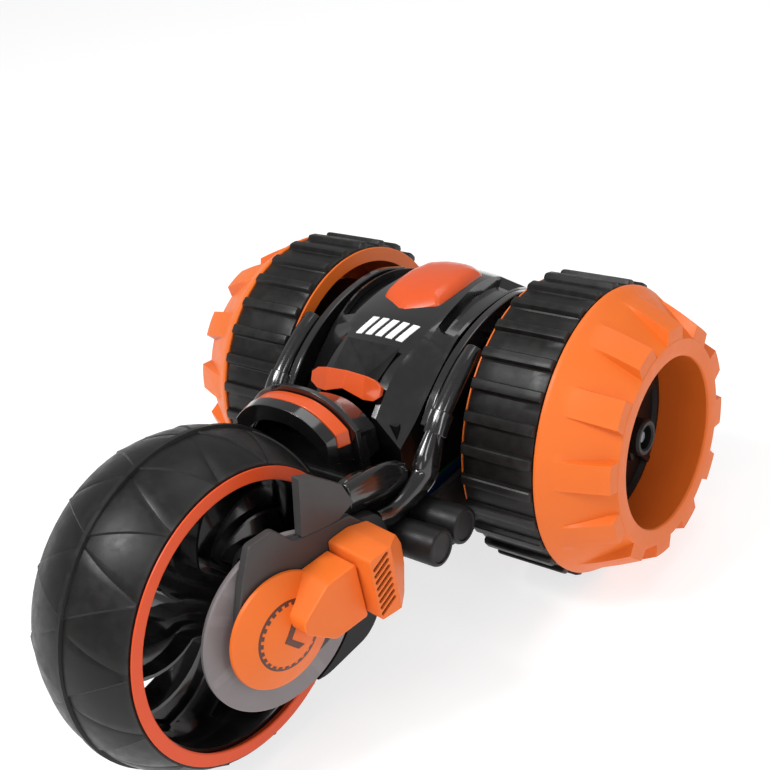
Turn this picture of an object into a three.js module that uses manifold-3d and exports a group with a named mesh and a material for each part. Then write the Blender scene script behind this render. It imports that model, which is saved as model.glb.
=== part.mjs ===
// A three-wheeled remote control stunt car: one wide front wheel in a fork, and two
// bowl-shaped rear wheels, each driven by its own motor and gear train.
//
// Millimetres, +Z up. The front of the car points to -Y, and its left side is +X.
// The origin is on the ground, in the middle of the car's length and width.
import * as THREE from 'three';
import { mergeVertices } from 'three/addons/utils/BufferGeometryUtils.js';
import Module from 'manifold-3d';

const wasm = await Module();
wasm.setup();

// ---------------------------------------------------------------- driving dimensions
const GAP = 0.35; // clearance between two pieces that touch
const WHEELBASE = 146.8;
const FRONT_Y = -72.2; // front axle
const REAR_Y = FRONT_Y + WHEELBASE; // rear axle
const FRONT_RADIUS = 58.4;
const REAR_RADIUS = 56;
const FRONT_RING_X = 22.9; // half width of the front wheel
const FRONT_RING_RADIUS = 50.1;
const TYRE_INNER_X = 42.4; // rear wheel, inner face
const TYRE_OUTER_X = 72.8; // where the rear tyre meets the bowl's cone
const BOWL_LIP_X = 97; // outer face of the bowl
const SEAT_RADIUS = 50; // the rear tyre's seat on the bowl
const MOUTH_RADIUS = 31.9; // mouth of the bowl
const HUB_RADIUS = 35.2;
const HUB_X = 75; // outer face of the hub plate
const LUGS = 12;
const LUG_PHASE = 17; // degrees from straight up to the first lug
const RIBS = 29; // tread bars on a rear tyre
const CASE_RADIUS = 38; // gear case inside a rear wheel
const SHAFT_RADIUS = 2;
const SPLAY = 9; // degrees that each fork arm opens towards the body
const ARM_X = 36; // outer face of a fork cover beside the front axle
const GEAR_MODULE = 0.8;
const SMALL_TEETH = 12;
const BIG_TEETH = 32;
const ROUND = 28; // sides of a large circle

const front = [FRONT_Y, FRONT_RADIUS]; // the two axles as points of the Y-Z plane
const rear = [REAR_Y, REAR_RADIUS];

// ---------------------------------------------------------------- materials
const finish = (color, roughness, metalness = 0) =>
  new THREE.MeshStandardMaterial({ color, roughness, metalness });
const orange = finish(0xef6a2c, 0.4);
const glossOrange = finish(0xf25a2a, 0.22);
const black = finish(0x1c1b1b, 0.3);
const satinBlack = finish(0x232221, 0.5);
const grey = finish(0x4c4848, 0.35);
const rubber = finish(0x242120, 0.7);
const steel = finish(0xb8bcc0, 0.3, 0.9);
const nylon = finish(0xe6e2d6, 0.5);
const board = finish(0x1f6b3a, 0.5);
const foil = finish(0x3b6fb0, 0.4);

// ---------------------------------------------------------------- solids
/** A closed solid from any closed three.js geometry. */
function solid(geometry) {
  const bare = new THREE.BufferGeometry();
  bare.setAttribute('position', geometry.getAttribute('position').clone());
  if (geometry.index) bare.setIndex(geometry.index.clone());
  const merged = mergeVertices(bare, 1e-4);
  const mesh = new wasm.Mesh({
    numProp: 3,
    vertProperties: new Float32Array(merged.attributes.position.array),
    triVerts: new Uint32Array(merged.index.array),
  });
  mesh.merge();
  return new wasm.Manifold(mesh);
}

/** The three.js geometry of a solid. */
function shape(body) {
  const mesh = body.getMesh();
  const geometry = new THREE.BufferGeometry();
  geometry.setAttribute('position', new THREE.BufferAttribute(mesh.vertProperties, 3));
  geometry.setIndex(new THREE.BufferAttribute(mesh.triVerts, 1));
  geometry.computeVertexNormals();
  return geometry;
}

const join = (...bodies) => bodies.reduce((whole, next) => whole.add(next));
const cut = (body, ...tools) => tools.reduce((whole, next) => whole.subtract(next), body);
const mirrored = (body) => body.mirror([1, 0, 0]);
const facing = (side, body) => (side > 0 ? body : mirrored(body));

/** An outline in the Y-Z plane, made solid from x = low to x = high. */
function plate(outline, low, high, holes = []) {
  const path = new THREE.Shape(outline.map(([y, z]) => new THREE.Vector2(y, z)));
  path.holes = holes.map((hole) => new THREE.Path(hole.map(([y, z]) => new THREE.Vector2(y, z))));
  const geometry = new THREE.ExtrudeGeometry(path, {
    depth: high - low, bevelEnabled: false, curveSegments: 8,
  });
  // shape (y, z, depth) turned into world (depth, y, z)
  const turn = new THREE.Matrix4().set(0, 0, 1, low, 1, 0, 0, 0, 0, 1, 0, 0, 0, 0, 0, 1);
  return solid(geometry.applyMatrix4(turn));
}

/** An outline of [x, y] points, made solid from z = low to z = high. */
function column(outline, low, high) {
  const path = new THREE.Shape(outline.map(([x, y]) => new THREE.Vector2(x, y)));
  const geometry = new THREE.ExtrudeGeometry(path, { depth: high - low, bevelEnabled: false });
  return solid(geometry.translate(0, 0, low));
}

/** A closed profile of [x, radius] points, turned about an axle through [y, z]. */
function turned(profile, [y, z], sides = ROUND) {
  const points = profile.map(([x, radius]) => new THREE.Vector2(Math.max(radius, 0), x));
  if (profile[0][1] > 0) points.push(points[0].clone());
  const area = profile.reduce((sum, [x, r], i) => {
    const [nextX, nextR] = profile[(i + 1) % profile.length];
    return sum + r * nextX - nextR * x;
  }, 0);
  if (area < 0) points.reverse();
  const geometry = new THREE.LatheGeometry(points, sides);
  geometry.rotateZ(-Math.PI / 2);
  geometry.translate(0, y, z);
  return solid(geometry);
}

const rod = (radius, low, high, centre, sides = 16) =>
  turned([[low, 0], [low, radius], [high, radius], [high, 0]], centre, sides);

const tube = (outer, inner, low, high, centre, sides = 16) =>
  turned([[low, inner], [low, outer], [high, outer], [high, inner]], centre, sides);

function box([lowX, lowY, lowZ], [highX, highY, highZ]) {
  const geometry = new THREE.BoxGeometry(highX - lowX, highY - lowY, highZ - lowZ);
  geometry.translate((lowX + highX) / 2, (lowY + highY) / 2, (lowZ + highZ) / 2);
  return solid(geometry);
}

/** Closed rings of [x, y, z] points, each at its own y, skinned one after the other. */
function lofted(given) {
  const flatten = (ring) => ring.map(([x, , z]) => new THREE.Vector2(x, z));
  const clockwise = THREE.ShapeUtils.isClockWise(flatten(given[0]));
  const rings = given.map((ring) => (clockwise ? [...ring].reverse() : ring));
  const count = rings[0].length;
  const index = [];
  for (let r = 0; r + 1 < rings.length; r++) {
    for (let i = 0; i < count; i++) {
      const a = r * count + i;
      const b = r * count + ((i + 1) % count);
      index.push(a, b + count, b, a, a + count, b + count);
    }
  }
  const cap = THREE.ShapeUtils.triangulateShape(flatten(rings[0]), []);
  const last = (rings.length - 1) * count;
  for (const [a, b, c] of cap) {
    index.push(a, b, c);
    index.push(last + c, last + b, last + a);
  }
  const geometry = new THREE.BufferGeometry();
  geometry.setAttribute('position', new THREE.Float32BufferAttribute(rings.flat(2), 3));
  geometry.setIndex(index);
  return solid(geometry);
}

/** A round bar along a smooth curve through points. */
function bar(points, radius, steps = 10, sides = 8) {
  const curve = new THREE.CatmullRomCurve3(points.map((p) => new THREE.Vector3(...p)));
  const section = new THREE.Shape();
  section.absarc(0, 0, radius, 0, 2 * Math.PI, false);
  return solid(new THREE.ExtrudeGeometry(section, {
    steps, curveSegments: sides / 2, extrudePath: curve, bevelEnabled: false,
  }));
}

const turn = (body, degrees, [y, z]) =>
  body.translate([0, -y, -z]).rotate([degrees, 0, 0]).translate([0, y, z]);

// ---------------------------------------------------------------- the scene graph
const group = new THREE.Group();
group.name = 'rc_stunt_car';

function add(name, body, material, parent = group) {
  const mesh = new THREE.Mesh(shape(body), material);
  mesh.name = name;
  parent.add(mesh);
}

const SIDES = [['left', 1], ['right', -1]];

// ---------------------------------------------------------------- front wheel
/** Tyre radius at a distance from the wheel's middle plane. */
const crown = (x) =>
  FRONT_RADIUS - (FRONT_RADIUS - FRONT_RING_RADIUS) * (Math.abs(x) / FRONT_RING_X) ** 1.8;

/** The tyre is a hollow shell, open towards the rim. */
function frontTyre() {
  const wall = 3;
  const lip = FRONT_RING_X - 1.5; // the side ring covers the tyre's edge from here out
  const seat = 47.4 + GAP;
  const steps = 6;
  const outer = [];
  const inner = [];
  for (let i = 0; i <= steps; i++) {
    const share = 2 * i / steps - 1;
    outer.push([(FRONT_RING_X - 0.5) * share, crown((FRONT_RING_X - 0.5) * share)]);
    inner.push([(lip - wall) * share, crown((lip - wall) * share) - wall]);
  }
  const edge = [[FRONT_RING_X - 0.7, FRONT_RING_RADIUS - 1], [lip, seat], [lip - wall, seat]];
  const edgeBack = [...edge].reverse().map(([x, radius]) => [-x, radius]);
  return turned([...outer, ...edge, ...inner.slice(1, -1).reverse(), ...edgeBack], front, ROUND);
}

/** One broad blade of the front wheel, swept back as it reaches the barrel. */
function frontBlade(start) {
  const inner = 12;
  const outer = 44;
  const sweep = 34;
  const edge = (radius, spread) => {
    const along = (radius - inner) / (outer - inner);
    const angle = THREE.MathUtils.degToRad(start + sweep * along + spread);
    return [FRONT_Y + radius * Math.cos(angle), FRONT_RADIUS + radius * Math.sin(angle)];
  };
  const radii = [inner, 22, 32, outer];
  const lead = radii.map((radius) => edge(radius, 24 - radius * 0.1));
  const trail = radii.map((radius) => edge(radius, -24 + radius * 0.1)).reverse();
  return plate([...lead, ...trail], -2, 2);
}

function frontRim() {
  const barrel = turned([
    [-FRONT_RING_X + 3, 43.6], [-FRONT_RING_X + 3, 47.4], [FRONT_RING_X - 3, 47.4],
    [FRONT_RING_X - 3, 43.6], [7, 41.6], [-7, 41.6],
  ], front, ROUND);
  const hub = tube(14, 3.3, -21.5, 21.5, front);
  const blades = [0, 1, 2, 3, 4].map((i) => frontBlade(i * 72 + 8));
  const bore = rod(3.3, -30, 30, front);
  return cut(join(barrel, hub, ...blades), bore);
}

function frontRing(side) {
  const x = FRONT_RING_X;
  const profile = [
    [x - 3 + GAP, 45.5], [x - 3 + GAP, 47.4], [x - 1.15, 47.4], [x - 0.35, FRONT_RING_RADIUS - 0.6],
    [x + 0.3, FRONT_RING_RADIUS - 0.8], [x + 0.3, 45.7],
  ];
  return facing(side, turned(profile, front));
}

function buildFrontWheel() {
  add('front_tyre', frontTyre(), rubber);
  add('front_rim', frontRim(), black);
  for (const [name, side] of SIDES) add(`front_ring_${name}`, frontRing(side), orange);
  add('front_axle', rod(3, -33.5, 33.5, front), steel);
}

// ---------------------------------------------------------------- fork
// Each arm is drawn flat, u to the rear from the front axle and z up, and its group is
// then turned outwards by the splay. Offsets t are measured outwards from the cover.
const coverOutline = [
  [-13.8, 68.5], [-9, 81], [-3.6, 92.2], [6.6, 92.4], [13, 84.3], [36, 80.5],
  [43, 72], [47, 58], [34, 46], [14, 40], [-6, 40],
];
const armOutline = [
  [-14, 68], [-4, 88], [6, 88], [14, 80], [36, 76], [50, 72], [53, 62], [50, 48],
  [40, 32.1], [35, 28.6], [15, 25.1], [0, 30], [-14, 44],
];
const shieldOutline = [[15.4, 84.6], [18.9, 104.6], [24.5, 102.2], [35, 93], [38.5, 84], [31, 81.7]];
const frontBlockOutline = [
  [0.6, 62], [0.7, 66.1], [12.4, 74], [24.2, 74.5], [25, 53.2], [11.2, 53],
];
const louvreBlockOutline = [
  [25.4, 54], [24.8, 70], [25, 77.2], [33.5, 77.6], [42, 75], [46.5, 67], [46, 59.3], [40, 53.2],
  [33, 53.4],
];
const guardCentre = [4.1, 56.3]; // the crescent guard sits lower and further back than the axle
const GUARD_RADIUS = 30.8;

/** The pieces of one fork arm, in a group turned about the front axle's end. */
function buildForkArm(name, side) {
  const arm = new THREE.Group();
  arm.position.set(side * ARM_X, FRONT_Y, 0);
  arm.rotation.z = THREE.MathUtils.degToRad(-side * SPLAY);
  group.add(arm);
  const axle = [0, FRONT_RADIUS];
  const put = (piece, body, material) => add(`${piece}_${name}`, facing(side, body), material, arm);

  const pin = rod(5.2, -40, 40, axle);
  const armBody = join(plate(armOutline, -7.8, -3.2 - GAP), rod(8, -12.4, -5, axle));
  const guardSeat = rod(GUARD_RADIUS + 0.4, -5.6 - GAP, 2, guardCentre, ROUND);
  put('fork_arm', cut(armBody, pin, guardSeat), satinBlack);
  put('crescent_guard', cut(rod(GUARD_RADIUS, -5.6, -3.2 - GAP, guardCentre, ROUND), pin), grey);
  const screwHead = rod(9, -10, 0.4, axle);
  put('fork_cover', cut(plate(coverOutline, -3.2, 0), screwHead), grey);
  put('fork_shield', plate(shieldOutline, -2.6, 0.8).subtract(plate(coverOutline, -4, 1)), grey);

  const dome = [[GAP, 0], [GAP, 20], [1.6, 20]];
  for (const radius of [19.4, 12.5, 6, 0]) {
    dome.push([2.2 + 5.2 * Math.cos(Math.PI / 2 * radius / 19.4), radius]);
  }
  const boss = tube(8.4, 4.2, -3.2 + GAP, 3, axle);
  put('hub_disc', join(cut(turned(dome, axle), rod(4.2, -10, 3, axle)), boss), orange);

  const blockBody = plate(frontBlockOutline, GAP, 14);
  const hollow = turned([[-9, 0], [-9, 21], [2.4, 21], [8.2, 14], [8.6, 0]], axle, ROUND);
  put('front_block', cut(blockBody, hollow), orange);
  const slots = [];
  for (let i = 0; i < 8; i++) {
    slots.push(box([-0.6, -3.6, -0.45], [0.8, 3.6, 0.45]).rotate([32, 0, 0])
      .translate([20, 29, 56.4 + i * 2.6]));
  }
  // the block's outer face slopes inwards behind the louvres
  const slope = column([[21, 33.5], [9, 48], [21, 48]], 40, 90);
  put('louvre_block', cut(plate(louvreBlockOutline, GAP, 20), slope, ...slots), orange);
}

// ---------------------------------------------------------------- mudguard
/** Peaked arch of the mudguard, from one lower corner over the crown to the other. */
function archRing(y, apex, corner, foot, halfWidth, thickness) {
  const outer = [];
  const inner = [];
  const steps = 5;
  for (let i = -steps; i <= steps; i++) {
    const x = halfWidth * i / steps;
    const z = apex - (apex - corner) * (Math.abs(i) / steps) ** 2.6;
    outer.push([x, y, z]);
    inner.push([x * (1 - 3 / halfWidth), y, z - thickness]);
  }
  outer.unshift([-halfWidth, y, foot]);
  outer.push([halfWidth, y, foot]);
  inner.unshift([-(halfWidth - 3), y, foot]);
  inner.push([halfWidth - 3, y, foot]);
  return [...outer, ...inner.reverse()];
}

function buildMudguard() {
  const shell = lofted([
    archRing(-20.5, 102.4, 93, 84, 20.8, 6),
    archRing(-16.2, 102.9, 93.4, 83, 21.6, 6),
    archRing(-15.8, 100.7, 91.8, 82, 20.3, 4),
    archRing(-9.5, 100.2, 90.6, 80, 21.4, 4),
    archRing(-9.1, 104.2, 92, 80, 25.6, 5),
    archRing(-4, 102, 90.5, 77, 25.2, 4),
    archRing(2, 98, 87.5, 75, 24, 3),
    archRing(8, 93.5, 84, 73, 22, 3),
  ]);
  add('mudguard', shell, black);
  const band = lofted([
    archRing(-15.4, 102.4, 93.3, 91, 21, 1.5),
    archRing(-10, 101.9, 92.4, 90, 21.9, 1.5),
  ]);
  const clearance = lofted([
    archRing(-16.4, 100.8 + GAP, 92 + GAP, 80, 20.2 + GAP, 10),
    archRing(-9, 100.2 + GAP, 90.7 + GAP, 78, 21.5 + GAP, 10),
  ]);
  add('mudguard_band', band.subtract(clearance), orange);
}

// ---------------------------------------------------------------- body
/** One section of the saddle-shaped body: flat crown, shoulders, and open underneath. */
function bodyRing(y, crownZ, topHalf, shoulderZ, half, footZ, wall) {
  const outer = [
    [-half, footZ], [-half, shoulderZ], [-topHalf, crownZ - 2], [-topHalf * 0.5, crownZ],
    [topHalf * 0.5, crownZ], [topHalf, crownZ - 2], [half, shoulderZ], [half, footZ],
  ];
  const inner = [
    [half - wall, footZ], [half - wall, shoulderZ - wall * 0.4],
    [topHalf - wall * 0.6, crownZ - 2 - wall], [topHalf * 0.5, crownZ - wall],
    [-topHalf * 0.5, crownZ - wall], [-topHalf + wall * 0.6, crownZ - 2 - wall],
    [-half + wall, shoulderZ - wall * 0.4], [-half + wall, footZ],
  ];
  return [...outer, ...inner].map(([x, z]) => [x, y, z]);
}

const WALL = 2.2;
const SHELL_FOOT = 52; // height where the upper shell meets the lower chassis
const bodyStations = [
  // y, crown height, crown half width, shoulder height, half width
  [12, 84, 15, 72, 24],
  [20, 91, 16, 79, 26],
  [28, 96, 17, 86, 27],
  [38, 99.5, 18, 93, 27.5],
  [50, 103.5, 18, 99.5, 28],
  [64, 105.5, 17, 102.5, 29],
  [80, 105.5, 15, 102, 29],
  [94, 102.5, 14, 98, 28],
  [108, 94, 12, 89, 25],
  [118, 82, 10, 78, 21],
];

function buildBody() {
  const rings = bodyStations.map(([y, crownZ, top, shoulder, half]) =>
    bodyRing(y, crownZ, top, shoulder, half, SHELL_FOOT, WALL));
  const [lastY, lastCrown, lastTop, lastShoulder, lastHalf] = bodyStations.at(-1);
  const shell = lofted(rings);
  const tail = plate([
    [lastY - WALL, SHELL_FOOT], [lastY - WALL, lastShoulder], [lastY, lastShoulder],
    [lastY, SHELL_FOOT],
  ], -lastHalf + 1, lastHalf - 1);
  const window = plate([[8, 78], [8, 120], [27, 120], [27, 92], [18, 78]], -13, 13);
  const motorHoles = SIDES.map(([, side]) => facing(side, rod(31, 20, 40, rear, ROUND)));
  add('upper_body', cut(join(shell, tail), window, ...motorHoles), black);

  const [tipY, endY] = [50, 99];
  const hump = [];
  for (let i = 0; i <= 6; i++) {
    const along = i / 6;
    const swell = Math.sin(Math.PI * along) ** 0.6;
    const y = tipY + (endY - tipY) * along;
    const half = 6 + 8.5 * swell;
    const base = 101 - 14 * Math.max(along - 0.55, 0);
    const top = 105.5 + 3.8 * swell - 8 * Math.max(along - 0.6, 0);
    hump.push([
      [-half, y, base], [-half, y, top - 4], [-half * 0.6, y, top - 0.8], [0, y, top],
      [half * 0.6, y, top - 0.8], [half, y, top - 4], [half, y, base],
    ]);
  }
  const crownClear = lofted(bodyStations.map(([y, crownZ, top, shoulder, half]) =>
    bodyRing(y, crownZ + GAP, top + GAP, shoulder + GAP, half + GAP, SHELL_FOOT, 12)));
  add('canopy', lofted(hump).subtract(crownClear), glossOrange);

  const beak = plate([[12.6, 87.8], [14, 92], [18, 97], [20, 96.2], [16, 91], [14.7, 87.4]], -15.4, 15.4);
  add('beak_panel', beak, glossOrange);
}

// Arched band outside each flank of the body, from the front leg up over the wheel case.
const bandPath = [[17, 81], [27, 90.5], [42, 98.5], [60, 103], [80, 103], [96, 97.5]];

function buildSideBand(name, side) {
  const outer = bandPath;
  const inner = bandPath.map(([y, z]) => {
    const away = Math.hypot(y - REAR_Y, z - REAR_RADIUS);
    const shrink = (away - 8) / away;
    return [REAR_Y + (y - REAR_Y) * shrink, REAR_RADIUS + (z - REAR_RADIUS) * shrink];
  }).reverse();
  add(`side_band_${name}`, facing(side, plate([...outer, ...inner], 32.3, 34)), black);
}

// ---------------------------------------------------------------- frame between fork and body
const tubePath = [
  [37.9, 45, 98], [37.9, 36, 94.4], [37.9, 25.7, 88.2], [37.9, 18.1, 82.2], [37.9, 12, 74],
  [37.9, 9, 67],
];
// flared foot of the tube, which runs forward above the pegs
const footOutline = [
  [8.6, 79], [14, 80], [17, 73], [13, 64], [4, 60], [-8, 58.6], [-18, 61], [-18.6, 66], [-10, 70],
  [0, 71.5],
];
const PEG_Z = 53.2;
const LINK_X = [29.6, 34.2]; // inner and outer face of a link

function buildFrameSide(name, side) {
  const link = plate([
    [-34, 79.5], [-29, 86], [-20, 84.5], [-12.6, 81], [-5, 78], [3, 73.5], [8, 65], [12, 58],
    [13, 44], [8, 40], [-14, 40], [-22, 52], [-30, 66],
  ], ...LINK_X);
  add(`link_${name}`, facing(side, cut(link, bar(tubePath, 3.5 + GAP))), black);
  const pegRoom = [-10, 4].map((y) => rod(6.8 + GAP, 30, 45, [y, PEG_Z], 20));
  const foot = plate(footOutline, 35, 40.9);
  add(`frame_tube_${name}`, facing(side, cut(join(bar(tubePath, 3.5), foot), ...pegRoom)), black);
  for (const [place, y] of [['front', -10], ['rear', 4]]) {
    const peg = turned([
      [34.6, 0], [34.6, 6.2], [36, 6.8], [54, 6.8], [54.8, 6], [54.8, 5.4], [54.2, 5], [54.2, 0],
    ], [y, PEG_Z], 20);
    add(`${place}_peg_${name}`, facing(side, peg), black);
  }
}

// ---------------------------------------------------------------- lower chassis
const chassisOutline = [
  [-11, 72], [-11, 46], [4, 30], [30, 24], [112, 24], [119, 32], [119, 51.5], [0, 51.5], [0, 72],
];
const BATTERY = { low: [-17, 34, 28], high: [17, 84, 46] };

function buildChassis() {
  const half = 33;
  const tub = plate(chassisOutline, -half, half);
  const pocket = plate([[6, 60], [6, 33.5], [31, 27], [110.5, 27], [116.2, 33.5], [116.2, 60]],
    -half + WALL, half - WALL);
  const hatch = box([-19, 32.5, 20], [19, 85.5, 30]);
  const slot = box([8, 92, 20], [20, 98, 30]);
  const cheeks = SIDES.map(([, side]) =>
    facing(side, box([LINK_X[0] - GAP, -20, 20], [half + 10, 14, 90])));
  const caseHoles = SIDES.map(([, side]) =>
    facing(side, rod(CASE_RADIUS - 12, half - 6, half + 6, rear, ROUND)));
  const neck = join(box([-20, -9, 60], [20, 0, 84]), box([-8, -8, 83], [8, -2, 94]));
  add('lower_chassis', cut(join(tub, neck), pocket, hatch, slot, ...cheeks, ...caseHoles),
    satinBlack);

  const screw = [0, 80];
  const cover = join(
    box([-18.6, 32.9, 24.2], [18.6, 85.1, 26.2]), box([-16, 33.5, 26], [16, 84.5, 27]));
  add('battery_cover', cut(cover, rodUp(1.8, screw, 20, 30), rodUp(3, screw, 20, 25)), satinBlack);
  add('cover_screw', join(rodUp(1.4, screw, 24.6, 27.6), rodUp(2.4, screw, 23.8, 24.8)), steel);
  add('battery_pack', box(BATTERY.low, BATTERY.high), foil);
  add('circuit_board', box([-24, 20, 49], [24, 66, 50.6]), board);
  const knob = join(
    box([7.5, 91.2, 27.3], [16.5, 98.8, 28.6]), box([9, 93, 24.6], [15, 97, 27.5]),
    box([10.6, 93.6, 22.6], [13.4, 96.4, 25]));
  add('power_switch', knob, nylon);
}

/** An upright rod at [x, y]. */
function rodUp(radius, [x, y], low, high) {
  const geometry = new THREE.CylinderGeometry(radius, radius, high - low, 12);
  geometry.rotateX(Math.PI / 2);
  geometry.translate(x, y, (low + high) / 2);
  return solid(geometry);
}

// ---------------------------------------------------------------- gears
const pitchRadius = (teeth) => GEAR_MODULE * teeth / 2;
const CENTRES = pitchRadius(SMALL_TEETH) + pitchRadius(BIG_TEETH); // between meshing gears

/** Outline of a spur gear about [y, z], with one tooth centred at phase (radians). */
function gearOutline(teeth, [y, z], phase) {
  const pitch = pitchRadius(teeth);
  const base = pitch * Math.cos(THREE.MathUtils.degToRad(20));
  const tip = pitch + 0.8 * GEAR_MODULE;
  const root = pitch - 1.15 * GEAR_MODULE;
  const backlash = 0.3;
  const roll = (radius) => {
    const tangent = Math.sqrt(Math.max((radius / base) ** 2 - 1, 0));
    return tangent - Math.atan(tangent);
  };
  const halfAngle = (radius) =>
    (Math.PI * GEAR_MODULE / 2 - backlash) / (2 * pitch) + roll(pitch) - roll(radius);
  const deep = base - root > 0.2; // a small gear's root lies below its base circle
  const start = deep ? base : root;
  const outline = [];
  for (let tooth = 0; tooth < teeth; tooth++) {
    const centre = phase + 2 * Math.PI * tooth / teeth;
    const polar = (radius, angle) =>
      [y + radius * Math.cos(centre + angle), z + radius * Math.sin(centre + angle)];
    if (deep) outline.push(polar(root, -halfAngle(start)));
    outline.push(polar(start, -halfAngle(start)), polar(tip, -halfAngle(tip)));
    outline.push(polar(tip, halfAngle(tip)), polar(start, halfAngle(start)));
    if (deep) outline.push(polar(root, halfAngle(start)));
  }
  return outline;
}

const IDLER_ANGLE = Math.PI + 0.35; // from the rear axle to the idler
const idlerCentre = [
  REAR_Y + CENTRES * Math.cos(IDLER_ANGLE), REAR_RADIUS + CENTRES * Math.sin(IDLER_ANGLE),
];
const MOTOR_ANGLE = 1.3; // from the idler to the motor
const motorCentre = [
  idlerCentre[0] + CENTRES * Math.cos(MOTOR_ANGLE), idlerCentre[1] + CENTRES * Math.sin(MOTOR_ANGLE),
];
const GEAR_A = [45.6, 49.6]; // pinion and the idler's large gear
const GEAR_B = [50.6, 55.6]; // the idler's small gear and the drive gear

function buildGears(name, side) {
  const put = (piece, body, material) => add(`${piece}_${name}`, facing(side, body), material);
  const [lowA, highA] = GEAR_A;
  const [lowB, highB] = GEAR_B;
  const toothGap = Math.PI / SMALL_TEETH;
  const pinionPhase = MOTOR_ANGLE + Math.PI + toothGap;
  put('motor_pinion', join(
    plate(gearOutline(SMALL_TEETH, motorCentre, pinionPhase), lowA, highA),
    rod(1, 41.6, lowA + 1, motorCentre),
  ), nylon);

  const smallPhase = IDLER_ANGLE + Math.PI;
  const idler = join(
    plate(gearOutline(BIG_TEETH, idlerCentre, MOTOR_ANGLE), lowA, highA),
    rod(3.4, highA - 0.5, lowB + 0.5, idlerCentre),
    plate(gearOutline(SMALL_TEETH, idlerCentre, smallPhase), lowB, highB),
    rod(1.4, 43.2, highB + 4, idlerCentre),
  );
  put('idler_gear', idler, nylon);

  const drivePhase = IDLER_ANGLE + Math.PI / BIG_TEETH;
  const drive = join(
    plate(gearOutline(BIG_TEETH, rear, drivePhase), lowB, highB),
    rod(5, lowB - 1, highB + 2, rear),
  );
  put('drive_gear', cut(drive, rod(SHAFT_RADIUS + GAP, 0, 90, rear)), nylon);
  put('rear_shaft', rod(SHAFT_RADIUS, 39, 86, rear), steel);
  put('motor', join(
    rod(10, 18, 41 - GAP, motorCentre), rod(3, 16.5, 42, motorCentre),
  ).subtract(rod(1.3, 39, 60, motorCentre)), steel);
}

/** The drum inside a rear wheel that holds the gear train. */
function buildGearCase(name, side) {
  const [, highB] = GEAR_B;
  const end = highB + 8;
  const floor = 33 + GAP;
  const outer = turned([
    [floor, 0], [floor, CASE_RADIUS], [end - 4, CASE_RADIUS], [end, CASE_RADIUS - 4], [end, 0],
  ], rear, ROUND);
  const cavity = rod(CASE_RADIUS - 2.2, 42.6, end - 4.6, rear, ROUND);
  const passage = [
    rod(SHAFT_RADIUS + GAP, 0, 90, rear),
    rod(10 + GAP, 0, 41, motorCentre),
    rod(3 + GAP, 30, 43, motorCentre),
    rod(1.4 + GAP, 42, highB + 4.6, idlerCentre),
  ];
  const window = rod(14, 30, 45, [REAR_Y + 17, REAR_RADIUS + 8], 20);
  const body = join(cut(outer, cavity), tube(3.6, SHAFT_RADIUS + GAP, 37, 49, rear));
  add(`gear_case_${name}`, facing(side, cut(body, ...passage, window)), satinBlack);
}

// ---------------------------------------------------------------- rear wheels
function rearTyre() {
  const outline = [];
  for (let rib = 0; rib < RIBS; rib++) {
    const polar = (radius, share) => {
      const angle = 2 * Math.PI * (rib + share) / RIBS;
      return [REAR_Y + radius * Math.cos(angle), REAR_RADIUS + radius * Math.sin(angle)];
    };
    const deep = REAR_RADIUS - 2.2;
    outline.push(polar(deep, 0), polar(REAR_RADIUS, 0.1), polar(REAR_RADIUS, 0.37), polar(deep, 0.42));
    outline.push(polar(deep, 0.71));
  }
  const bore = rod(SEAT_RADIUS + GAP, 0, 100, rear, ROUND);
  return cut(plate(outline, TYRE_INNER_X + 0.8 + GAP, TYRE_OUTER_X - GAP), bore);
}

/** One wedge-shaped lug on the cone: flush near the tyre, standing proud at the lip. */
function lug(index) {
  const startX = 79;
  const endX = BOWL_LIP_X - 0.2;
  const rise = 43.4;
  const width = 5.6;
  const ring = (x, radius, half) => [
    [-half, x, 36], [half, x, 36], [half * 0.94, x, radius], [-half * 0.94, x, radius],
  ];
  const wedge = lofted([ring(startX, 49.4, width), ring(endX, rise, width * 0.9)]);
  // drawn along Y, then laid along X and stood on the axle
  const laid = wedge.rotate([0, 0, -90]);
  return turn(laid.translate([0, REAR_Y, REAR_RADIUS]), 360 * index / LUGS + LUG_PHASE, rear);
}

function wheelBowl() {
  const body = turned([
    [TYRE_INNER_X, 53.3], [TYRE_INNER_X + 0.8, 53.3], [TYRE_INNER_X + 0.8, SEAT_RADIUS],
    [TYRE_OUTER_X, SEAT_RADIUS], [TYRE_OUTER_X, 54.3], [TYRE_OUTER_X + 1.4, 54.3],
    [BOWL_LIP_X, 38.4], [BOWL_LIP_X, MOUTH_RADIUS], [HUB_X, HUB_RADIUS + GAP],
    [70.6, HUB_RADIUS + GAP], [70.6, 33], [68.6, 33], [68.6, 38], [90, 35.8], [90, 40.6],
    [73.4, 50.8], [70, 47.6], [TYRE_INNER_X, 47.6],
  ], rear);
  return join(body, ...Array.from({ length: LUGS }, (_, i) => cutLug(lug(i))));
}

/** A lug without the part that would fill the hollow of the bowl. */
const cutLug = (body) => cut(body, turned([
  [70, 0], [70, 52], [73.4, 51.6], [91, 41], [BOWL_LIP_X + 2, 37], [BOWL_LIP_X + 2, 0],
], rear));

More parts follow.
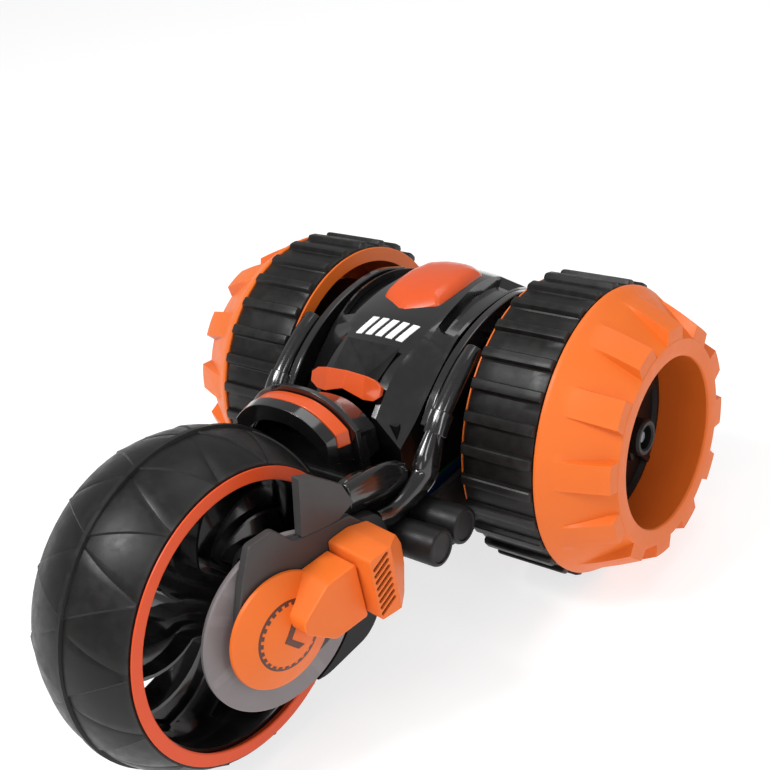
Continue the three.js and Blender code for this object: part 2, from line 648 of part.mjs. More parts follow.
function wheelHub() {
  const disc = turned([
    [71, 4.3], [71, HUB_RADIUS], [HUB_X, HUB_RADIUS], [73.2, HUB_RADIUS - 3], [73.2, 6.9],
    [87.9, 6.9], [87.9, 4.3],
  ], rear, ROUND);
  const spokes = [0, 1, 2, 3, 4, 5].map((i) => turn(plate([
    [REAR_Y - 1.4, REAR_RADIUS + 5.6], [REAR_Y + 1.4, REAR_RADIUS + 5.6],
    [REAR_Y + 1.4, REAR_RADIUS + 33.4], [REAR_Y - 1.4, REAR_RADIUS + 33.4],
  ], 73, 75.2), 60 * i + 20, rear));
  const collar = tube(6, SHAFT_RADIUS + GAP, 66.5, 75, rear);
  return join(disc, ...spokes, collar);
}

function buildRearWheel(name, side) {
  add(`rear_tyre_${name}`, facing(side, rearTyre()), rubber);
  add(`wheel_bowl_${name}`, facing(side, wheelBowl()), orange);
  add(`wheel_hub_${name}`, facing(side, wheelHub()), satinBlack);
}

// ---------------------------------------------------------------- assembly
buildFrontWheel();
buildMudguard();
buildBody();
buildChassis();
for (const [name, side] of SIDES) {
  buildForkArm(name, side);
  buildSideBand(name, side);
  buildFrameSide(name, side);
  buildGears(name, side);
  buildGearCase(name, side);
  buildRearWheel(name, side);
}

export default group;
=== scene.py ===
import math

import bmesh
import bpy
from mathutils import Matrix, Vector


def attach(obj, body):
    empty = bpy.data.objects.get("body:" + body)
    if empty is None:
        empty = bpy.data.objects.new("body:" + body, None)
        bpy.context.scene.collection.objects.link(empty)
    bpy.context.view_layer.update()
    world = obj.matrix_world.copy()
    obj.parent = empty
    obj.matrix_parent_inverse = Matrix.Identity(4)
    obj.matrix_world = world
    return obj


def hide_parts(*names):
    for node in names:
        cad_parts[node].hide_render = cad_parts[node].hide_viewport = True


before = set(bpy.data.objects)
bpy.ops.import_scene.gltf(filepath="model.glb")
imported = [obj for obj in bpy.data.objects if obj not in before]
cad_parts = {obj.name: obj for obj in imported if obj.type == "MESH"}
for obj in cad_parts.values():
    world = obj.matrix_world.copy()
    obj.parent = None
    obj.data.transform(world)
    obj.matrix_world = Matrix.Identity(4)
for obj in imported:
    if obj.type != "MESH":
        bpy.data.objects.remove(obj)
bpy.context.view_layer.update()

# Shapes are drawn in millimetres and made in metres. The front of the car points to -Y, its left
# side is +X, and +Z is up. A paired piece is drawn for the left side and mirrored for the right.
MM = 0.001
SIDES = (("left", 1), ("right", -1))
FRONT = (-72.2, 58.4)  # y and z of the front axle
REAR = (74.6, 56.0)  # y and z of the rear axle
MOTOR = (62.8, 66.9)  # y and z of the middle of both motors
FRONT_RADIUS = 58.4
REAR_RADIUS = 56.0
RING_X = 22.9  # half width of the front wheel at its side rings
SPLAY = math.radians(9)  # each fork arm opens towards the body
ARM_X = 36.0  # outer face of a fork cover beside the front axle
FOOT = 52.0  # where the upper body meets the lower chassis
WALL = 2.2


# ---------------------------------------------------------------- shapes: (points, faces)
def rounded(outline, radius, steps=4):
    """An outline with its corners filleted."""
    result = []
    count = len(outline)
    for i in range(count):
        corner = Vector(outline[i])
        before = Vector(outline[i - 1]) - corner
        after = Vector(outline[(i + 1) % count]) - corner
        reach = min(radius, before.length * 0.45, after.length * 0.45)
        start = corner + before.normalized() * reach
        end = corner + after.normalized() * reach
        for k in range(steps + 1):
            t = k / steps
            point = start * (1 - t) ** 2 + corner * 2 * t * (1 - t) + end * t ** 2
            result.append(tuple(point))
    return result


def skin(rings, wrap=False, caps=True):
    """Closed loops of points joined one after the other."""
    size = len(rings[0])
    points = [p for ring in rings for p in ring]
    faces = []
    spans = len(rings) if wrap else len(rings) - 1
    for r in range(spans):
        low = r * size
        high = ((r + 1) % len(rings)) * size
        for i in range(size):
            j = (i + 1) % size
            faces.append((low + i, low + j, high + j, high + i))
    if caps and not wrap:
        faces.append(tuple(range(size - 1, -1, -1)))
        faces.append(tuple((len(rings) - 1) * size + i for i in range(size)))
    return points, faces


def plate(outline, low, high):
    """A y-z outline made solid from x = low to x = high."""
    return skin([[(x, y, z) for y, z in outline] for x in (low, high)])


def lathe(profile, centre, sides=128):
    """A closed profile of (x, radius) turned about an axle through centre."""
    rings = []
    for i in range(sides):
        angle = 2 * math.pi * i / sides
        rings.append([(x, centre[0] - r * math.cos(angle), centre[1] + r * math.sin(angle))
                      for x, r in profile])
    return skin(rings, wrap=True)


def block(low, high):
    """A box between two corners."""
    outline = [(low[1], low[2]), (high[1], low[2]), (high[1], high[2]), (low[1], high[2])]
    return plate(outline, low[0], high[0])


def curve_points(path, samples):
    """A smooth curve through the points of a path."""
    pts = [Vector(p) for p in path]
    pts = [pts[0] * 2 - pts[1]] + pts + [pts[-1] * 2 - pts[-2]]
    spans = len(pts) - 3
    result = []
    for i in range(samples + 1):
        place = min(i / samples * spans, spans - 1e-9)
        k = int(place)
        t = place - k
        a, b, c, d = pts[k:k + 4]
        result.append(0.5 * (2 * b + (c - a) * t + (2 * a - 5 * b + 4 * c - d) * t ** 2
                             + (3 * b - a - 3 * c + d) * t ** 3))
    return result


def sweep(path, radius, samples=32, sides=20, flatten=1.0):
    """A round or oval bar along a smooth curve, with rounded ends."""
    line = curve_points(path, samples)
    normal = Vector((1, 0, 0))
    rings = []
    for i, point in enumerate(line):
        ahead = line[min(i + 1, samples)] - line[max(i - 1, 0)]
        direction = ahead.normalized()
        normal = (normal - direction * normal.dot(direction)).normalized()
        side = direction.cross(normal)
        size = radius(i / samples) if callable(radius) else radius
        rings.append([point + normal * size * flatten * math.cos(2 * math.pi * k / sides)
                      + side * size * math.sin(2 * math.pi * k / sides) for k in range(sides)])
    return skin([[tuple(p) for p in ring] for ring in rings])


def polar(centre, radius, degrees):
    """y and z at an angle measured from the front of the car, upwards."""
    angle = math.radians(degrees)
    return centre[0] - radius * math.cos(angle), centre[1] + radius * math.sin(angle)


def turned(shape, degrees, centre):
    """The shape turned about an axle through centre."""
    turn = Matrix.Rotation(math.radians(-degrees), 3, "X")
    pivot = Vector((0, *centre))
    return [tuple(turn @ (Vector(p) - pivot) + pivot) for p in shape[0]], shape[1]


def joined(*shapes):
    """Several shapes as one, without a boolean."""
    points, faces = [], []
    for shape in shapes:
        start = len(points)
        points.extend(shape[0])
        faces.extend(tuple(start + i for i in face) for face in shape[1])
    return points, faces


def mesh_object(name, shape, place=None, side=1):
    """A mesh object from a shape, with clean faces that point outwards."""
    mesh = bpy.data.meshes.new(name)
    points = [Vector(p) for p in shape[0]]
    if place:
        points = [place @ p for p in points]
    mesh.from_pydata([Vector((p.x * side, p.y, p.z)) * MM for p in points], [], shape[1])
    bm = bmesh.new()
    bm.from_mesh(mesh)
    bmesh.ops.remove_doubles(bm, verts=bm.verts, dist=0.004 * MM)
    bmesh.ops.recalc_face_normals(bm, faces=bm.faces)
    bm.to_mesh(mesh)
    bm.free()
    obj = bpy.data.objects.new(name, mesh)
    bpy.context.scene.collection.objects.link(obj)
    return obj


def combined(operation, base, tools):
    """One shape from a boolean of several."""
    parts = [mesh_object("part", shape) for shape in (base, *tools)]
    for tool in parts[1:]:
        modifier = parts[0].modifiers.new("combine", "BOOLEAN")
        modifier.operation = operation
        modifier.solver = "EXACT"
        modifier.object = tool
    graph = bpy.context.evaluated_depsgraph_get()
    mesh = bpy.data.meshes.new_from_object(parts[0].evaluated_get(graph))
    points = [tuple(v.co / MM) for v in mesh.vertices]
    faces = [tuple(p.vertices) for p in mesh.polygons]
    bpy.data.meshes.remove(mesh)
    for part in parts:
        data = part.data
        bpy.data.objects.remove(part)
        bpy.data.meshes.remove(data)
    return points, faces


def united(base, *tools):
    """The shapes made into one closed shape."""
    return combined("UNION", base, tools)


def carved(base, *tools):
    """The first shape less the others."""
    return combined("DIFFERENCE", base, tools)


# ---------------------------------------------------------------- materials
GRAIN_RELIEF = 0.00008  # metres


def linear(rgb):
    """Scene-linear colour of an 8-bit display colour."""
    return [((c / 255 + 0.055) / 1.055) ** 2.4 if c > 10 else c / 255 / 12.92 for c in rgb] + [1.0]


def noise(tree, coords, scale, detail, roughness=0.55):
    """A noise texture in the piece's own space."""
    node = tree.nodes.new("ShaderNodeTexNoise")
    node.inputs["Scale"].default_value = scale
    node.inputs["Detail"].default_value = detail
    node.inputs["Roughness"].default_value = roughness
    tree.links.new(coords.outputs["Object"], node.inputs["Vector"])
    return node


def scaled(tree, source, low, high, from_low=0.3, from_high=0.7):
    """A value mapped from one range to another."""
    node = tree.nodes.new("ShaderNodeMapRange")
    node.inputs["From Min"].default_value = from_low
    node.inputs["From Max"].default_value = from_high
    node.inputs["To Min"].default_value = low
    node.inputs["To Max"].default_value = high
    tree.links.new(source, node.inputs["Value"])
    return node.outputs["Result"]


def blended(tree, share, first, second):
    """A mix of two colours, each a constant or a node's output."""
    node = tree.nodes.new("ShaderNodeMix")
    node.data_type = "RGBA"
    tree.links.new(share, node.inputs["Factor"])
    for value, socket in ((first, node.inputs[6]), (second, node.inputs[7])):
        if isinstance(value, bpy.types.NodeSocket):
            tree.links.new(value, socket)
        else:
            socket.default_value = value
    return node.outputs[2]


def surface(name, rgb, roughness, grain=3500, bump=0.12, mottle=0.08, spread=0.06, wear_and_edge_sheen=0.25,
            specular=0.5, coat=0.0, coat_roughness=0.05, metallic=0.0, dust=0.0):
    """Moulded plastic, rubber or metal: colour drift, grain, uneven gloss, and convex edges
    lightened both as wear and as a painted highlight.

    Scales count features per metre. The relief of the grain is GRAIN_RELIEF deep at full bump.
    """
    material = bpy.data.materials.new(name)
    material.use_nodes = True
    tree = material.node_tree
    shader = tree.nodes["Principled BSDF"]
    shader.inputs["Specular IOR Level"].default_value = specular
    shader.inputs["Coat Weight"].default_value = coat
    shader.inputs["Coat Roughness"].default_value = coat_roughness
    shader.inputs["Metallic"].default_value = metallic
    coords = tree.nodes.new("ShaderNodeTexCoord")
    broad = noise(tree, coords, 28, 3)
    patchy = noise(tree, coords, 260, 5)
    fine = noise(tree, coords, grain, 4, 0.6)
    base = linear(rgb)
    darker = [c * (1 - mottle) for c in base[:3]] + [1]
    lighter = [min(1, c * (1 + mottle) + 0.002) for c in base[:3]] + [1]
    colour = blended(tree, scaled(tree, broad.outputs["Fac"], 0, 1), darker, lighter)
    if dust:
        pale = [c * 0.75 + 0.05 for c in base[:3]] + [1]
        share = scaled(tree, patchy.outputs["Fac"], 0, dust, 0.45, 0.8)
        colour = blended(tree, share, colour, pale)
    geometry = tree.nodes.new("ShaderNodeNewGeometry")
    # Convex edges are lightened: partly wear, partly a painted highlight for the bright lines that
    # light draws along edges.
    edge = scaled(tree, geometry.outputs["Pointiness"], 0, wear_and_edge_sheen, 0.515, 0.6)
    wear_and_sheen_share = tree.nodes.new("ShaderNodeMath")
    wear_and_sheen_share.operation = "MULTIPLY"
    tree.links.new(edge, wear_and_sheen_share.inputs[0])
    tree.links.new(scaled(tree, patchy.outputs["Fac"], 0.3, 1), wear_and_sheen_share.inputs[1])
    worn_and_sheen = [min(1, c * 1.25 + 0.03) for c in base[:3]] + [1]
    colour = blended(tree, wear_and_sheen_share.outputs[0], colour, worn_and_sheen)
    tree.links.new(colour, shader.inputs["Base Color"])
    rough = scaled(tree, patchy.outputs["Fac"], max(0.02, roughness - spread), roughness + spread)
    tree.links.new(rough, shader.inputs["Roughness"])
    relief = tree.nodes.new("ShaderNodeBump")
    relief.inputs["Strength"].default_value = bump
    relief.inputs["Distance"].default_value = GRAIN_RELIEF
    tree.links.new(fine.outputs["Fac"], relief.inputs["Height"])
    tree.links.new(relief.outputs["Normal"], shader.inputs["Normal"])
    return material


# The record's material slots, in display colours.
MATERIALS = {
    "orange_plastic": surface("orange_plastic", (225, 107, 34), 0.44, bump=0.1, specular=0.3,
                              mottle=0.04, wear_and_edge_sheen=0.35),
    "gloss_orange": surface("gloss_orange", (214, 82, 30), 0.3, bump=0.02, coat=0.2, mottle=0.01,
                            spread=0.01, wear_and_edge_sheen=0.02, specular=0.4),
    "black_plastic": surface("black_plastic", (15, 14, 14), 0.2, bump=0.03, coat=1.0,
                             coat_roughness=0.08, mottle=0.1, specular=0.35),
    "satin_black": surface("satin_black", (18, 17, 17), 0.42, bump=0.16, specular=0.25),
    "grey_plastic": surface("grey_plastic", (60, 58, 58), 0.36, bump=0.12, wear_and_edge_sheen=0.45, specular=0.3),
    "tyre_rubber": surface("tyre_rubber", (16, 14, 13), 0.4, grain=2400, bump=0.22,
                           mottle=0.14, spread=0.08, dust=0.06, wear_and_edge_sheen=0.6, specular=0.3),
    "steel": surface("steel", (128, 130, 134), 0.3, metallic=1.0, bump=0.08),
    "nylon": surface("nylon", (228, 224, 210), 0.5),
    "circuit_board": surface("circuit_board", (24, 92, 48), 0.45),
    "battery_wrap": surface("battery_wrap", (48, 96, 170), 0.35, coat=0.3),
}
# Copies of a slot's colour made darker or lighter as painted shade and painted light, black painted
# shade for the louvre slots, and the marks that no slot covers.
MARKS = {
    # ring_orange_shaded: orange_plastic made darker and redder, painted shade for the front wheel's
    # side rings.
    "ring_orange_shaded": surface("ring_orange_shaded", (214, 76, 32), 0.4, bump=0.08, specular=0.3, mottle=0.04),
    # guard_grey_lit: grey_plastic made much lighter, painted light that offsets the shade the hub
    # disc throws on the crescent guard.
    "guard_grey_lit": surface("guard_grey_lit", (122, 115, 116), 0.36, bump=0.12, wear_and_edge_sheen=0.6, specular=0.35),
    "mark_white": surface("mark_white", (240, 240, 238), 0.4, mottle=0.02, wear_and_edge_sheen=0.0),
    "mark_dark": surface("mark_dark", (84, 40, 24), 0.45, mottle=0.05, wear_and_edge_sheen=0.0),
    # slot_shade_black: near-black painted shade for the bottoms of the louvre slots.
    "slot_shade_black": surface("slot_shade_black", (14, 12, 12), 0.6, mottle=0.05, wear_and_edge_sheen=0.0),
}


def add_piece(name, shape, material, body, replaces=(), bevel=0.35, segments=2, side=1,
              place=None, crease=32, slot=None):
    """A finished piece that rides on a CAD body and stands for the CAD nodes it replaces."""
    obj = mesh_object(name, shape, place, side)
    for polygon in obj.data.polygons:
        polygon.use_smooth = True
    obj.data.set_sharp_from_angle(angle=math.radians(crease))
    if bevel:
        modifier = obj.modifiers.new("edges", "BEVEL")
        modifier.width = bevel * MM
        modifier.segments = segments
        modifier.limit_method = "ANGLE"
        modifier.angle_limit = math.radians(crease)
        modifier.harden_normals = True
    obj.data.materials.append(MATERIALS.get(material) or MARKS[material])
    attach(obj, body)
    if replaces:
        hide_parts(*replaces)
    return obj


# ---------------------------------------------------------------- front wheel
RIDGE = 0.8  # height of the bead that runs round the middle of the front tyre
CROWN_EDGE = 50.4  # radius of the crown where it meets the side ring


def crown(x):
    """Front tyre radius at a distance from the wheel's middle plane."""
    middle = FRONT_RADIUS - RIDGE
    return middle - (middle - CROWN_EDGE) * (abs(x) / RING_X) ** 2.1


TREAD_NODES = 14  # points round the crown where two scales meet
TREAD_STEP = 0.5  # height of one scale's edge
TREAD_HALF = 22.4  # half width of the tread
TREAD_PHASE = 1.8  # degrees, from the front upwards, to the first of them


def front_tyre():
    """Overlapping tread scales: a step and a fine groove leave each crown node in a V."""
    pitch = 360 / TREAD_NODES
    half = [0, 0.8, 1.15, 1.9, 3.2, 5, 7, 9, 11, 13, 15, 17, 18.6, 20, 21.2, 22.3]
    columns = [-x for x in half[:0:-1]] + half
    rows = [("low", -0.35, 0), ("low", 0.25, 1)]
    rows += [("raised", f, 1 - f) for f in (0.2, 0.4, 0.6, 0.8)]
    rows += [("high", -1, 0.04), ("groove", 0, -0.3), ("high", 1, 0)]
    rows += [("flat", f, 0) for f in (0.2, 0.4, 0.6, 0.8)]
    rings = []
    for node in range(TREAD_NODES):
        for kind, value, rise in rows:
            ring = []
            for x in columns:
                share = abs(x) / TREAD_HALF
                low = 1.5 + 0.93 * share * (pitch / 2 - 1.5)
                high = pitch - low
                degrees = {
                    "low": low + value,
                    "raised": low + value * (high - low),
                    "high": high + value * min(0.5, 0.15 * (high - low)),
                    "groove": high,
                    "flat": high + value * 2 * low,
                }[kind]
                radius = crown(x) - TREAD_STEP + rise * TREAD_STEP
                if abs(x) < 0.9:
                    radius = FRONT_RADIUS - 0.05  # the bead
                y, z = polar(FRONT, radius, TREAD_PHASE + node * pitch + degrees)
                ring.append((x, y, z))
            for x, radius in ((21.9, 47.6), (-21.9, 47.6)):
                y, z = polar(FRONT, radius, TREAD_PHASE + node * pitch + degrees)
                ring.append((x, y, z))
            rings.append(ring)
    return skin(rings, wrap=True)


BLADES = 5
BLADE_PHASE = -12  # degrees to the root of the first blade
BLADE_HALF = 27  # half width of a blade, in degrees
EDGE_WIDTH = 3.2  # of a blade's raised edge, in degrees
SPINE_HALF = 1.4


def blade_edge(start, spread, steps=9, inner=11, outer=44.5, sweep_angle=38):
    """One swept edge of a front wheel blade, from the hub out to the barrel."""
    edge = []
    for i in range(steps + 1):
        along = i / steps
        radius = inner + (outer - inner) * along
        degrees = start + sweep_angle * along ** 1.4 + spread * (1 - 0.16 * along)
        edge.append(polar(FRONT, radius, degrees))
    return edge


def front_rim():
    """Barrel, hub and five swept blades with raised edges and a spine."""
    barrel = lathe([
        (-19.9, 44.6), (-19.9, 47.2), (19.9, 47.2), (19.9, 44.6), (17, 43.4), (7, 42), (-7, 42),
        (-17, 43.4),
    ], FRONT, 128)
    hub = lathe([(-21.4, 3.4), (-21.4, 13), (-20, 14), (20, 14), (21.4, 13), (21.4, 3.4)],
                FRONT, 72)
    parts = [hub]
    for i in range(BLADES):
        start = i * 360 / BLADES + BLADE_PHASE
        lead, trail = blade_edge(start, BLADE_HALF), blade_edge(start, -BLADE_HALF)
        parts.append(plate(lead + trail[::-1], -2, 2))
        for spread in (BLADE_HALF, -BLADE_HALF):
            inner = blade_edge(start, spread - math.copysign(EDGE_WIDTH, spread))
            parts.append(plate(blade_edge(start, spread) + inner[::-1], -5.5, 5.5))
        spine = blade_edge(start, SPINE_HALF)
        parts.append(plate(spine + blade_edge(start, -SPINE_HALF)[::-1], -4, 4))
    return united(barrel, *parts)


add_piece("front_tyre", front_tyre(), "tyre_rubber", "front_wheel", ["front_tyre"], bevel=0)
add_piece("front_rim", front_rim(), "black_plastic", "front_wheel", ["front_rim"], bevel=0.5)
for name, side in SIDES:
    ring = lathe([
        (RING_X - 2.5, 45.9), (RING_X - 2.5, 47.3), (RING_X - 1.1, 47.5), (RING_X - 0.35, 49.5),
        (RING_X + 0.25, 49.4), (RING_X + 0.3, 45.4), (RING_X - 0.1, 44.9),
    ], FRONT, 160)
    # The side rings take a darker, redder copy of the orange as painted shade.
    add_piece(f"front_ring_{name}", ring, "ring_orange_shaded", "front_wheel",
              [f"front_ring_{name}"], bevel=0.15, side=side, slot="orange_plastic")


# ---------------------------------------------------------------- fork
# An arm is drawn flat: x is the offset outwards, y the distance behind the axle, z up.
ARM = (Matrix.Translation((ARM_X, FRONT[0], 0)) @ Matrix.Rotation(-SPLAY, 4, "Z"))
AXLE = (0.0, FRONT[1])
COVER = [(-13.8, 68.5), (-9, 81), (-3.6, 92.2), (6.6, 92.4), (13, 84.3), (36, 80.5), (43, 72),
         (47, 58), (34, 46), (14, 40), (-6, 40)]
ARM_OUTLINE = [(-14, 68), (-4, 88), (6, 88), (14, 80), (36, 76), (50, 72), (53, 62), (50, 48),
               (40, 32.1), (35, 28.6), (15, 25.1), (0, 30), (-14, 44)]
SHIELD = [(15.4, 84.6), (18.9, 104.6), (24.5, 102.2), (35, 93), (38.5, 84), (31, 81.7)]
LOW_SHIELD = [(15.4, 84.6), (17.2, 94.5), (27, 95), (35, 92), (38.5, 84), (31, 81.7)]
FRONT_BLOCK = [(0.6, 62), (0.7, 66.1), (12.4, 74), (24.2, 74.5), (25, 53.2), (11.2, 53)]
LOUVRE_BLOCK = [(25.4, 54), (24.8, 70), (25, 77.2), (33.5, 77.6), (42, 75), (46.5, 67), (46, 59.3),
                (40, 53.2), (33, 53.4)]
GUARD_CENTRE = (4.1, 56.3)  # the crescent guard sits lower and further back than the axle
GUARD_RADIUS = 30.8
DISC_RADIUS = 19.4  # of the hub disc's domed part


def shield_shape(outline):
    """The raised plate above the cover, with its rear half folded slightly inwards."""
    return carved(plate(rounded(outline, 0.4), -2.6, 0.8), skin([
        [(0.85, 22.0, z), (-0.6, 40, z), (3, 40, z), (3, 22.0, z)] for z in (70, 110)]))


def dome(radius):
    """Height of the hub disc's dome at a distance from its centre."""
    return 2.2 + 5.2 * math.cos(math.pi / 2 * min(radius, DISC_RADIUS) / DISC_RADIUS)


def dome_patch(inner, outer, start, end, proud=0.1):
    """A thin inlay on the hub disc, between two radii and two angles in degrees."""
    steps = max(2, round(abs(end - start) / 3.75))
    rings = []
    whole = abs(end - start) >= 360
    for i in range(steps if whole else steps + 1):
        degrees = start + (end - start) * i / steps
        ring = []
        for radius, lift in ((inner, proud), (outer, proud), (outer, -0.3), (inner, -0.3)):
            y, z = polar(AXLE, radius, degrees)
            ring.append((dome(radius) + lift, y, z))
        rings.append(ring)
    return skin(rings, wrap=whole)


def tooth_ring():
    """A plain ring of small teeth round the hub disc."""
    teeth = 26
    shapes = [dome_patch(11.5, 12.2, 0, 360)]
    for i in range(teeth):
        middle = 360 * i / teeth
        shapes.append(dome_patch(10.6, 11.55, middle - 3.9, middle + 3.9))
    return joined(*shapes)


def chevron():
    """Two plain slanted strokes that meet in a point."""
    strokes = []
    for direction in (1, -1):
        front, back = [], []
        for i in range(7):
            share = i / 6
            front.append((-3.6 + 4.6 * share, 5.4 * share * direction))
            back.append((-0.9 + 4.6 * share, 5.4 * share * direction))
        rings = []
        for lift in (0.16, -0.3):
            rings.append([(dome(math.hypot(y, z)) + lift, y, AXLE[1] + z)
                          for y, z in front + back[::-1]])
        strokes.append(skin(rings))
    return joined(*strokes)


def hub_disc():
    """The flat rim and domed middle of the disc on the fork's outer face."""
    profile = [(0.4, 0.0), (0.4, 19.6), (0.8, 20.0), (1.5, 20.0), (2.0, 19.8)]
    for i in range(15):
        radius = DISC_RADIUS * (1 - i / 14)
        profile.append((dome(radius), radius))
    return lathe(profile, AXLE, 128)


def louvre_slots(depth, half_width, half_length):
    """Eight slanted bars from one depth to another, which cut or fill the louvres."""
    slots = []
    for i in range(8):
        bar = rounded([(-half_length, -half_width), (half_length, -half_width),
                       (half_length, half_width), (-half_length, half_width)], half_width * 0.9)
        centre = Vector((29.2, 57.6 + i * 2.45))
        turn = Matrix.Rotation(math.radians(27), 2)
        slots.append(plate([tuple(turn @ Vector(p) + centre) for p in bar], *depth))
    return slots


def slope_cutter():
    """What the louvre block lacks behind its louvres, where its face slopes inwards."""
    return skin([[(x, y, z) for x, y in ((20.6, 33.3), (8.6, 48), (26, 48), (26, 33.3))]
                 for z in (48, 84)])


for name, side in SIDES:
    def arm_piece(piece, shape, material, replaces=None, **options):
        nodes = [f"{replaces}_{name}"] if replaces else []
        return add_piece(f"{piece}_{name}", shape, material, "chassis", nodes, side=side,
                         place=ARM, **options)

    arm_shape = united(
        plate(rounded(ARM_OUTLINE, 4), -7.8, -3.5),
        lathe([(-12.4, 0), (-12.4, 7.4), (-11.8, 8), (-5, 8), (-5, 0)], AXLE, 64),
    )
    arm_shape = carved(arm_shape, lathe([  # a seat for the guard
        (-5.95, 0), (-5.95, GUARD_RADIUS + 0.4), (2, GUARD_RADIUS + 0.4), (2, 0),
    ], GUARD_CENTRE, 96))
    arm_piece("fork_arm", arm_shape, "satin_black", "fork_arm", bevel=0.6)
    guard = lathe([
        (-5.6, 0), (-5.6, GUARD_RADIUS - 0.4), (-5.2, GUARD_RADIUS), (-4.2, GUARD_RADIUS),
        (-3.6, GUARD_RADIUS - 0.6), (-3.6, 0),
    ], GUARD_CENTRE, 128)
    guard = carved(guard, lathe([(-9, 0), (-9, 5.3), (0, 5.3), (0, 0)], AXLE, 48))
    # The crescent guard is painted lighter than its grey plastic, to make up for the shade it lies
    # in.
    arm_piece("crescent_guard", guard, "guard_grey_lit", "crescent_guard", bevel=0.25,
              slot="grey_plastic")
    arm_piece("fork_cover", plate(rounded(COVER, 1.6), -3.2, 0), "grey_plastic", "fork_cover",
              bevel=0.5, segments=3)
    shield = SHIELD if side > 0 else LOW_SHIELD
    arm_piece("fork_shield", shield_shape(shield), "grey_plastic", "fork_shield", bevel=0.2,
              crease=3)
    arm_piece("hub_disc", hub_disc(), "orange_plastic", "hub_disc", bevel=0)
    arm_piece("tooth_ring", tooth_ring(), "mark_dark", bevel=0)
    arm_piece("chevron", chevron(), "mark_dark", bevel=0)
    arm_piece("front_block", plate(rounded(FRONT_BLOCK, 1.2), 0.35, 14), "orange_plastic",
              "front_block", bevel=0.7, segments=3)
    louvre = carved(plate(rounded(LOUVRE_BLOCK, 1.2), 0.35, 20), slope_cutter(),
                    *louvre_slots((18.4, 24), 0.66, 3.8))
    arm_piece("louvre_block", louvre, "orange_plastic", "louvre_block", bevel=0.25)
    # Black bars at the bottoms of the louvre slots are painted shade.
    arm_piece("louvre_slots", joined(*louvre_slots((18.1, 19.2), 0.62, 3.7)), "slot_shade_black",
              bevel=0)


# ---------------------------------------------------------------- mudguard
ARCH_POWER = 2.6  # above 2, so that the arch is flat on top and turns down near its corners


def arch_ring(y, apex, corner, foot, half, thickness, steps=16):
    """Peaked arch of the mudguard, from one lower corner over the crown to the other."""
    side_wall = 3.0
    outer, inner = [(-half, y, foot)], [(-half + side_wall, y, foot)]
    for i in range(-steps, steps + 1):
        share = abs(i) / steps
        z = apex - (apex - corner) * share ** ARCH_POWER
        outer.append((half * i / steps, y, z))
        inner.append(((half - side_wall) * i / steps, y, z - thickness))
    outer.append((half, y, foot))
    inner.append((half - side_wall, y, foot))
    return outer + inner[::-1]


mudguard = skin([
    arch_ring(-20.5, 102.4, 93, 84, 20.8, 6),
    arch_ring(-16.2, 102.9, 93.4, 83, 21.6, 6),
    arch_ring(-15.8, 100.7, 91.8, 82, 20.3, 4),
    arch_ring(-9.5, 100.2, 90.6, 80, 21.4, 4),
    arch_ring(-9.1, 104.0, 91.6, 78, 24.4, 5),
    arch_ring(-6.4, 103.2, 90.9, 77, 24.2, 5),
    arch_ring(-6.0, 98.5, 87.5, 76, 20.6, 3),
    arch_ring(2, 95, 84.5, 74, 19.4, 3),
    arch_ring(8, 92, 82, 73, 18, 3),
])
add_piece("mudguard", mudguard, "black_plastic", "chassis", ["mudguard"], bevel=0.5, segments=3)
band = skin([
    arch_ring(-15.5, 102.6, 93.4, 88, 21.2, 1.5),
    arch_ring(-9.8, 102.1, 92.5, 87, 22.1, 1.5),
])
add_piece("mudguard_band", band, "gloss_orange", "chassis", ["mudguard_band"], bevel=0.4,
          segments=3)


# ---------------------------------------------------------------- body
# Sections of the upper body: y, crown height, crown half width, shoulder height, half width.
STATIONS = [
    (12, 84, 15, 72, 24), (20, 91, 15, 79, 26), (28, 96, 15, 86, 27), (38, 99.5, 15.4, 93, 27.5),
    (41, 100.7, 15.6, 94.9, 27.7), (43.5, 101.5, 18, 96.4, 27.8), (50, 103.5, 18, 99.5, 28),
    (64, 105.5, 17, 102.5, 29), (80, 105.5, 15, 102, 29), (94, 102.5, 14, 98, 28),
    (108, 94, 12, 89, 25), (118, 82, 10, 78, 21),
]


def station(y):
    """Crown height and half width, shoulder height and half width of the body at y."""
    last = len(STATIONS) - 1
    k = max(i for i in range(last) if STATIONS[i][0] <= y + 1e-9)
    low, high = STATIONS[k], STATIONS[k + 1]
    before, after = STATIONS[max(k - 1, 0)], STATIONS[min(k + 2, last)]
    t = (y - low[0]) / (high[0] - low[0])
    result = []
    for column in range(1, 5):
        width = high[0] - low[0]
        if column == 2:
            result.append(low[2] + (high[2] - low[2]) * t)
            continue
        start = (high[column] - before[column]) / (high[0] - before[0] or 1) * width
        end = (after[column] - low[column]) / (after[0] - low[0] or 1) * width
        result.append((2 * t ** 3 - 3 * t ** 2 + 1) * low[column]
                      + (t ** 3 - 2 * t ** 2 + t) * start
                      + (3 * t ** 2 - 2 * t ** 3) * high[column]
                      + (t ** 3 - t ** 2) * end)
    return result


def crown_point(x, y):
    """Height of the body's crown panel."""
    top_z, top, _, _ = station(y)
    return top_z - 1.3 * (abs(x) / top) ** 2


VALLEY = (48, 52.5, 95, 99)  # where the channel beside the crown starts, deepens and ends
VALLEY_DEPTH = 4.2


def valley_depth(y):
    """Depth of the channel beside the crown at y."""
    start, deep, shallow, end = VALLEY
    rise = min((y - start) / (deep - start), (end - y) / (end - shallow))
    return VALLEY_DEPTH * min(max(rise, 0), 1)


